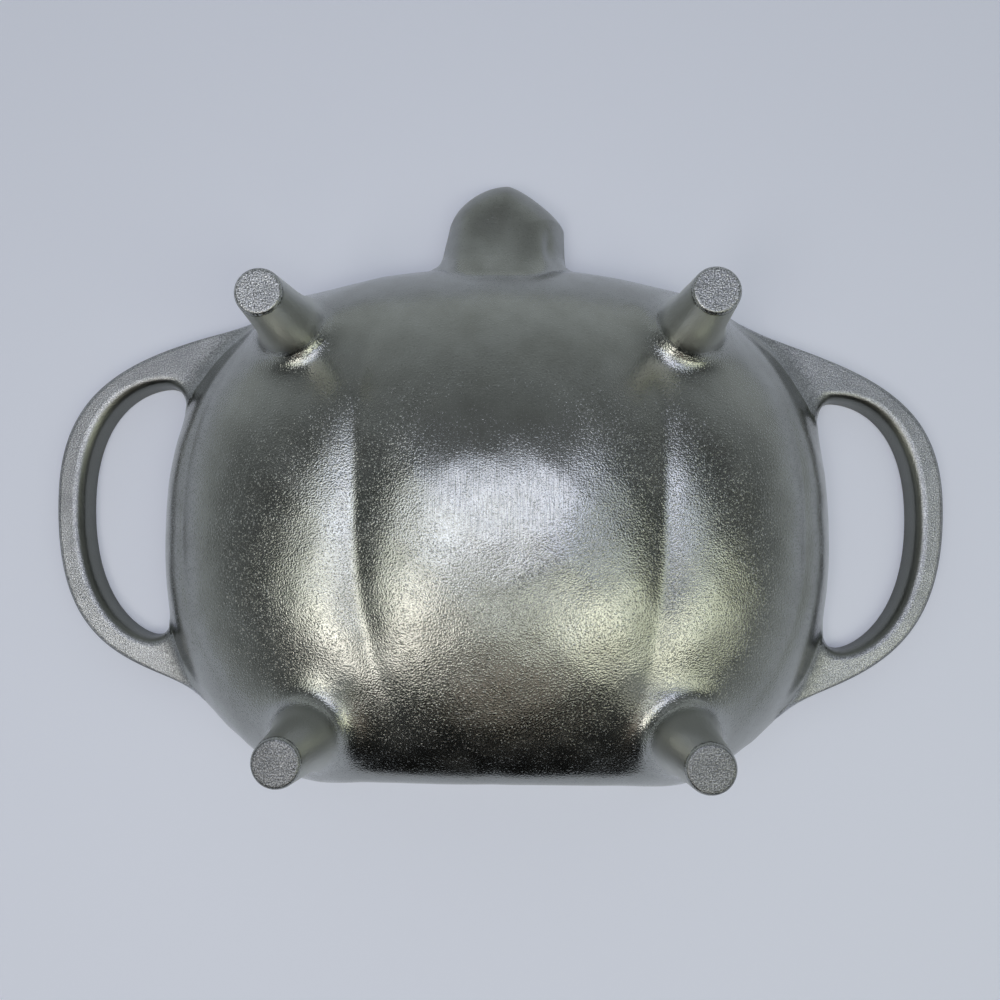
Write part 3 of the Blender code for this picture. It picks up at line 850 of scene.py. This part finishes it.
def stemSkin(inset, stations):
    # Height field over the outline: a station at each y, crowded towards the tip, and points across it that
    # crowd towards both feet, x = left + (right - left) * (1 - cos(pi v)) / 2. The rim column at each end is
    # the foot.
    outline = stemOutline(inset, stem["skinSteps"])
    peak = outline[:, 1].argmax()
    root, tip = outline[0, 1], outline[peak, 1]
    y = root + (tip - root) * np.sin(np.linspace(0, math.pi / 2, stations))
    right = np.interp(y, outline[: peak + 1, 1], outline[: peak + 1, 0])
    left = np.interp(y, outline[peak:, 1][::-1], outline[peak:, 0][::-1])
    v = (1 - np.cos(np.linspace(0, math.pi, stem["across"]))) / 2
    x = left[:, None] + (right - left)[:, None] * v
    plan = np.stack([x, np.broadcast_to(y[:, None], x.shape)], -1)
    away = np.abs(planDistance(plan.reshape(-1, 2), stemOutline(inset, stem["shareSteps"]), False))
    share = stemShare(away).reshape(x.shape)
    share[:, [0, -1]] = 0
    share[-1] = 0
    return np.concatenate([plan, (stemRoof(plan[..., 1], inset) * share)[..., None]], -1)


outer = stemSkin(0.0, stem["stations"])
outward = unit(gradientOf(stemGap, outer))
outer = outer - outward * fluteDepth(outer)[..., None]
besideBowl = boxed(bowlGap, lambda p: p[..., 1] < centreY + bowl["stemSide"] + stem["filletReach"])
outer = outer + filletShift(outer, outward, besideBowl, stemFillet)
outer[..., 2] = np.maximum(outer[..., 2], 0)
outer = pushTo(outer, bowlGap, stem["rootDepth"])
hollow = stemSkin(bowl["wall"], stem["stations"])
hollow = pushTo(hollow - [0, 0, 1] * fluteDepth(hollow)[..., None], bowlGap, bowl["wall"])
hollow[..., 2] = np.maximum(hollow[..., 2], 0)
middle = (outer[:, [0, -1]] + hollow[:, [0, -1]]) / 2
outer = np.concatenate([middle[:, :1], outer, middle[:, 1:]], axis=1)
hollow = np.concatenate([middle[:, :1], hollow, middle[:, 1:]], axis=1)
rows = np.concatenate([hollow[::-1], outer])
masks = branchMasks(rows, stem["grain"], np.zeros(rows.shape[:2]), stem["sideFillet"])
addPiece("panStemCup", ["stem_cup"], stemMetalShaded, rows, False, masks=masks)


# Build the handles

def handleRows(side):
    # sections across the band: up the outer side, round its edge, over the flat top and down the inner side
    steps = np.linspace(0, 1, handle["stations"])
    edges = []
    for curve in handlePlans[side]:
        run = np.linspace(0, 1, len(curve))
        edges.append(np.stack([np.interp(steps, run, curve[:, k]) for k in (0, 1)], -1))
    outerEdge, innerEdge = edges
    across = unit(innerEdge - outerEdge)
    thick = handle["thick"]

    def flank(edge, inward, radius):
        up = np.linspace(0, 1, handle["sidePoints"], endpoint=False)
        inset = handle["draft"] * up
        height = (thick - radius) * up
        turn = np.linspace(0, math.pi / 2, handle["edgePoints"])
        inset = np.concatenate([inset, handle["draft"] + radius * (1 - np.cos(turn))])
        height = np.concatenate([height, thick - radius + radius * np.sin(turn)])
        plan = edge[:, None] + inward[:, None] * inset[None, :, None]
        return np.concatenate([plan, np.broadcast_to(height[None, :, None], (*plan.shape[:2], 1))], -1)

    outerFlank = flank(outerEdge, across, handle["outerRadius"])
    innerFlank = flank(innerEdge, -across, handle["innerRadius"])
    t = np.linspace(0, 1, handle["topPoints"] + 2)[1:-1]
    top = outerFlank[:, -1:] * (1 - t[None, :, None]) + innerFlank[:, -1:] * t[None, :, None]
    loop = np.concatenate([outerFlank, top, innerFlank[:, ::-1]], axis=1)
    loop[..., 0] *= side
    return loop


for name, node, side in (("panLeftHandle", "left_handle", -1), ("panRightHandle", "right_handle", 1)):
    skin = handleRows(side)
    outward = gridNormals(skin, False, 1)
    if outward[skin.shape[0] // 2, skin.shape[1] // 2, 2] < 0:
        outward = -outward
    outward[:, 0, 2] = 0
    outward[:, -1, 2] = 0
    outward = unit(outward)
    skin = skin + filletShift(skin, outward, bowlGap, bowl["handleFillet"])
    skin[..., 2] = np.maximum(skin[..., 2], 0)
    skin = pushTo(skin, bowlGap, handle["rootDepth"])
    t = np.linspace(0, 1, handle["underPoints"] + 2)[1:-1]
    under = skin[:, -1:] * (1 - t[None, :, None]) + skin[:, :1] * t[None, :, None]
    rows = np.concatenate([skin, under], axis=1)
    topFace = smoothStep(handle["thick"] - rows[..., 2], *handle["groundEdge"])
    masks = branchMasks(rows, handle["grain"], topFace, bowl["handleFillet"])
    ends = (rows[0].mean(0), rows[-1].mean(0))
    addPiece(name, [node], handleMetalShadedSides, rows, True, ends, masks)


# Build the legs

def legRows(middle, top):
    # from the foot inside the wall up the drafted shaft, round the tip's edge and in over the ground face
    turns = np.linspace(0, 2 * math.pi, leg["around"], endpoint=False)
    direction = np.stack([np.cos(turns), np.sin(turns)], -1)
    tangent = math.tan(math.radians(leg["draft"]))

    def shaft(height):
        radius = leg["tipDiameter"] / 2 + (top - height) * tangent
        return np.concatenate([middle + direction * radius[:, None], height[:, None]], -1)

    low, high = np.zeros(leg["around"]), np.full(leg["around"], top)
    for _ in range(leg["halvings"]):
        half = (low + high) / 2
        inside = bowlGap(shaft(half)) < -leg["sink"]
        low = np.where(inside, half, low)
        high = np.where(inside, high, half)
    foot = low
    climb = np.linspace(0, 1, leg["shaftRows"]) ** leg["crowding"]
    rows = [shaft(foot + (top - leg["chamfer"] - foot) * c) for c in climb]
    rim = leg["tipDiameter"] / 2
    for turn in np.linspace(0, math.pi / 2, leg["edgeRows"] + 1)[1:]:
        radius = rim - leg["chamfer"] * (1 - math.cos(turn))
        height = top - leg["chamfer"] * (1 - math.sin(turn))
        rows.append(np.concatenate([middle + direction * radius, np.full((len(turns), 1), height)], -1))
    for share in np.linspace(1, 0, leg["faceRows"] + 1)[1:-1]:
        radius = (rim - leg["chamfer"]) * share
        rows.append(np.concatenate([middle + direction * radius, np.full((len(turns), 1), top)], -1))
    return np.array(rows)


for node in legNames:
    middle, top = legPlaces[node]
    rows = legRows(middle, top)
    outward = gridNormals(rows, True, 1)
    # turned round where they point inwards on the shaft
    probe = leg["probeRow"]
    outward *= np.sign((outward[probe, :, :2] * (rows[probe, :, :2] - middle)).sum())
    rows = rows + filletShift(rows, outward, bowlGap, bowl["legFillet"])
    below = top - rows[..., 2]
    masks = branchMasks(rows, leg["grain"], smoothStep(below, *leg["groundEdge"]), bowl["legFillet"])
    # the tip's edge is worn bright
    masks["dulledAndPaintedShading"] *= smoothStep(below, leg["chamfer"], leg["chamfer"] + leg["brightEdge"])
    name = "pan" + "".join(word.capitalize() for word in node.split("_"))
    # the lower legs take the copy with painted shade, the upper legs the copy with painted light
    metalOfLeg = lowerLegMetalShaded if node.startswith("lower") else upperLegMetalLit
    ends = (rows[0].mean(0), np.array([*middle, top]))
    addPiece(name, [node], metalOfLeg, rows, True, ends, masks)


# Floor, light and camera. tilt is in degrees, and the lamps aim at a point lampAim above the floor.

studio = dict(
    floorColour="#e0e4f3", floorLift=0.1, floorRough=0.6, floorSize=4.0, floorDrop=0.0002,
    lens=27.0, sensor=36.0, nearest=0.01, place=(0.009747, -0.033136, 0.3110), tilt=(4.27016, 1.37102, 0.35),
    lampDistance=1.2, lampAim=0.03,
)
floorMesh = bpy.data.meshes.new("floor")
half = studio["floorSize"] / 2
floorMesh.from_pydata(
    [(-half, -half, 0), (half, -half, 0), (half, half, 0), (-half, half, 0)], [], [(0, 1, 2, 3)]
)
floor = bpy.data.objects.new("floor", floorMesh)
floor.location.z = -studio["floorDrop"]
bpy.context.scene.collection.objects.link(floor)
paper = bpy.data.materials.new("matteBackdrop")
paper.use_nodes = True
paperShader = paper.node_tree.nodes["Principled BSDF"]
paperShader.inputs["Base Color"].default_value = linear(studio["floorColour"])
paperShader.inputs["Roughness"].default_value = studio["floorRough"]
# the backdrop is a little paler to the camera and in the metal than the light on it would make it
tree = paper.node_tree
rays = addNode(tree, "ShaderNodeLightPath").outputs
seen = addNode(
    tree, "ShaderNodeMath", None, {0: rays["Is Camera Ray"], 1: rays["Is Glossy Ray"]}, operation="MAXIMUM"
)
seen = addNode(
    tree, "ShaderNodeMath", None, {0: seen.outputs[0], 1: rays["Is Transmission Ray"]}, operation="MAXIMUM"
)
lift = addNode(tree, "ShaderNodeMath", {1: studio["floorLift"]}, {0: seen.outputs[0]}, operation="MULTIPLY")
paperShader.inputs["Emission Color"].default_value = linear(studio["floorColour"])
tree.links.new(lift.outputs[0], paperShader.inputs["Emission Strength"])
floorMesh.materials.append(paper)


def addLamp(name, lean, compass, size, radiance, colour):
    # A round softbox in a direction from the pan: lean from straight up and compass from +X, in degrees.
    # Its power is radiance * pi * area, so that radiance 1 mirrors as white.
    data = bpy.data.lights.new(name, "AREA")
    data.shape = "ELLIPSE"
    data.size, data.size_y = size
    data.energy = radiance * math.pi * math.pi * size[0] * size[1] / 4
    data.color = linear(colour)[:3]
    lamp = bpy.data.objects.new(name, data)
    a, b = math.radians(lean), math.radians(compass)
    away = Vector((math.sin(a) * math.cos(b), math.sin(a) * math.sin(b), math.cos(a)))
    lamp.location = away * studio["lampDistance"] + Vector((0, 0, studio["lampAim"]))
    lamp.rotation_mode = "QUATERNION"
    lamp.rotation_quaternion = away.to_track_quat("Z", "Y")
    bpy.context.scene.collection.objects.link(lamp)


# ceiling panels, the broad light at the left and right, and the windows in front: what the metal mirrors
for lampRow in (
    ("panelRight", 12, 30, (0.36, 0.36), 2.7, "#e4e8ff"),
    ("panelTop", 4, 120, (0.36, 0.30), 1.2, "#fff5ed"),
    ("panelBack", 15, 92, (0.44, 0.22), 0.35, "#f2f2ff"),
    ("panelLeft", 12, 150, (0.36, 0.36), 2.15, "#e0e8ff"),
    ("panelLow", 13, 208, (0.36, 0.36), 1.8, "#f9fbff"),
    ("leftNear", 24, 182, (0.38, 0.38), 1.48, "#fdfffc"),
    ("leftMiddle", 25, 212, (0.36, 0.36), 0.7, "#fffcf0"),
    ("leftFar", 37, 203, (0.40, 0.40), 1.45, "#fcfff0"),
    ("windowLeft", 36, 228, (0.42, 0.42), 3.3, "#fff9f0"),
    ("frontMiddle", 24, 285, (0.46, 0.36), 1.6, "#fbfff6"),
    ("rightNear", 25, 0, (0.34, 0.34), 1.2, "#e9f2ff"),
    ("frontLow", 44, 272, (0.44, 0.34), 0.48, "#ffecd8"),
    ("windowRight", 36, 312, (0.40, 0.40), 2.6, "#fffee7"),
    ("rightFar", 37, 340, (0.44, 0.44), 0.76, "#f6fff5"),
    ("windowRightLow", 50, 334, (0.50, 0.46), 1.25, "#fbffe1"),
):
    addLamp(*lampRow)

# The room: a pale horizon all round, dimmer overhead, but for a dark side in front, and a dim ceiling behind.
# Each pair is a level or a place at the start and at the end of a change.
room = dict(
    colour="#e6edee", horizonHeights=(0.0, 0.5), horizonLevels=(0.62, 0.10),
    frontPlaces=(-0.55, -0.92), frontShares=(1.0, 0.02), behindPlaces=(-0.15, 0.65),
    ceilingHeights=(0.15, 0.8), ceilingLevels=(0.62, 0.26),
)
world = bpy.data.worlds.new("studio")
bpy.context.scene.world = world
world.use_nodes = True
tree = world.node_tree
backdrop = tree.nodes["Background"]
split = addNode(
    tree, "ShaderNodeSeparateXYZ", None, {0: addNode(tree, "ShaderNodeTexCoord").outputs["Generated"]}
)


def roomRange(axis, places, levels, smooth="LINEAR"):
    # a level that goes over from one to the other between two places along an axis of the direction
    ends = {"From Min": places[0], "From Max": places[1], "To Min": levels[0], "To Max": levels[1]}
    node = addNode(
        tree, "ShaderNodeMapRange", ends, {"Value": split.outputs[axis]}, interpolation_type=smooth
    )
    return node.outputs[0]


horizon = roomRange("Z", room["horizonHeights"], room["horizonLevels"])
front = roomRange("Y", room["frontPlaces"], room["frontShares"], "SMOOTHSTEP")
behind = roomRange("Y", room["behindPlaces"], (0.0, 1.0), "SMOOTHSTEP")
ceiling = roomRange("Z", room["ceilingHeights"], room["ceilingLevels"])
low = addNode(tree, "ShaderNodeMath", None, {0: horizon, 1: front}, operation="MULTIPLY")
high = addNode(tree, "ShaderNodeMath", None, {0: ceiling, 1: behind}, operation="MULTIPLY")
level = addNode(tree, "ShaderNodeMath", None, {0: low.outputs[0], 1: high.outputs[0]}, operation="MAXIMUM")
tree.links.new(level.outputs[0], backdrop.inputs["Strength"])
backdrop.inputs["Color"].default_value = linear(room["colour"])

camera = bpy.data.objects.new("camera", bpy.data.cameras.new("camera"))
camera.data.lens = studio["lens"]
camera.data.sensor_width = studio["sensor"]
camera.location = studio["place"]
camera.rotation_euler = [math.radians(angle) for angle in studio["tilt"]]
camera.data.clip_start = studio["nearest"]
bpy.context.scene.collection.objects.link(camera)
bpy.context.scene.camera = camera
bpy.context.scene.view_settings.view_transform = "Standard"
print("floor, light and camera done")
